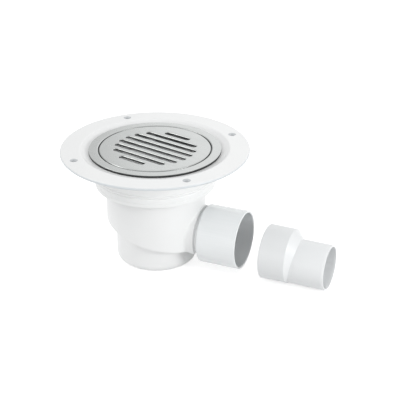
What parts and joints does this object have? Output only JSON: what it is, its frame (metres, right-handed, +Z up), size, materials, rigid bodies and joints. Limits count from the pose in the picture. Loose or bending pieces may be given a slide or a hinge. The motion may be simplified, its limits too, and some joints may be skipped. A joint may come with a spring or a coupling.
{
  "type": "gully trap",
  "caption": "Round floor gully with a dished flange for sheet vinyl, a slotted steel cover, a lift-out water trap, a horizontal outlet and a loose pipe reducer.",
  "frame": {"origin": "on the gully's vertical axis, at the underside of the cup that it stands on", "axes": "+X along the outlet pipe, away from the gully; +Z up, towards the cover; +Y completes the right-handed frame"},
  "size_m": [0.2638, 0.178, 0.1143],
  "materials": {
    "white_moulding": "satin",
    "white_pipe": "satin",
    "trap_moulding": "matte",
    "brushed_stainless": "brushed",
    "screw_steel": "bright",
    "black_rubber": "matte"
  },
  "bodies": {
    "root": {"flange_bowl": "white_moulding", "trap_body": "white_moulding", "outlet_pipe": "white_pipe", "clamp_gasket": "black_rubber", "clamp_ring": "brushed_stainless", "clamp_screws": "screw_steel", "cover": "brushed_stainless", "dip_tube": "trap_moulding", "dip_tube_seal": "black_rubber", "reducer": "white_pipe"}
  },
  "joints": []
}
